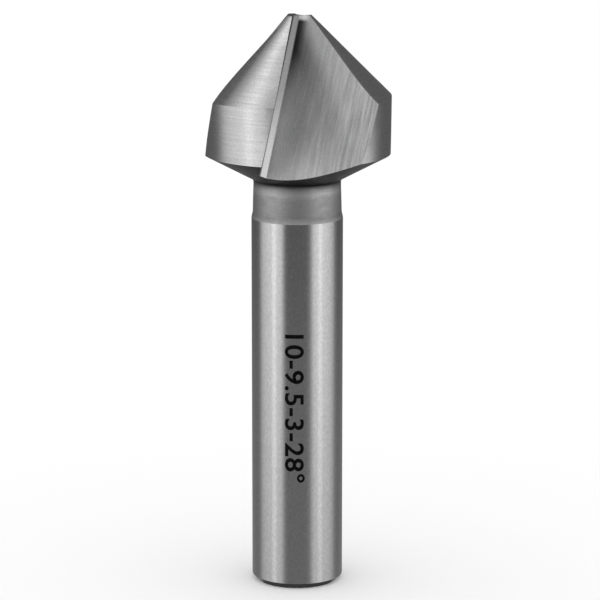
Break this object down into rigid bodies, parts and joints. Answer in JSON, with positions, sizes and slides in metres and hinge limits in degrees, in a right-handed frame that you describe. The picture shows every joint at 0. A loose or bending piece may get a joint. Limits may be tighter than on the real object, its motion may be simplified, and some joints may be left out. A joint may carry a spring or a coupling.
{
  "type": "countersink bit",
  "caption": "Straight-shank countersink bit with a 90 degree cone, straight flutes ground into the head, a short relieved neck and a round shank; it cuts conical screw-head seats.",
  "frame": {"origin": "centre of the flat shank end, on the tool axis, where the bit stands", "axes": "+Z along the tool axis from the shank end to the point; -Y faces the viewer of the picture; right-hand cutting, so the lands turn counter-clockwise seen from the point"},
  "size_m": [0.0201, 0.0202, 0.063],
  "materials": {
    "ground_steel": "satin"
  },
  "bodies": {
    "root": {"countersink_bit": "ground_steel"}
  },
  "joints": []
}
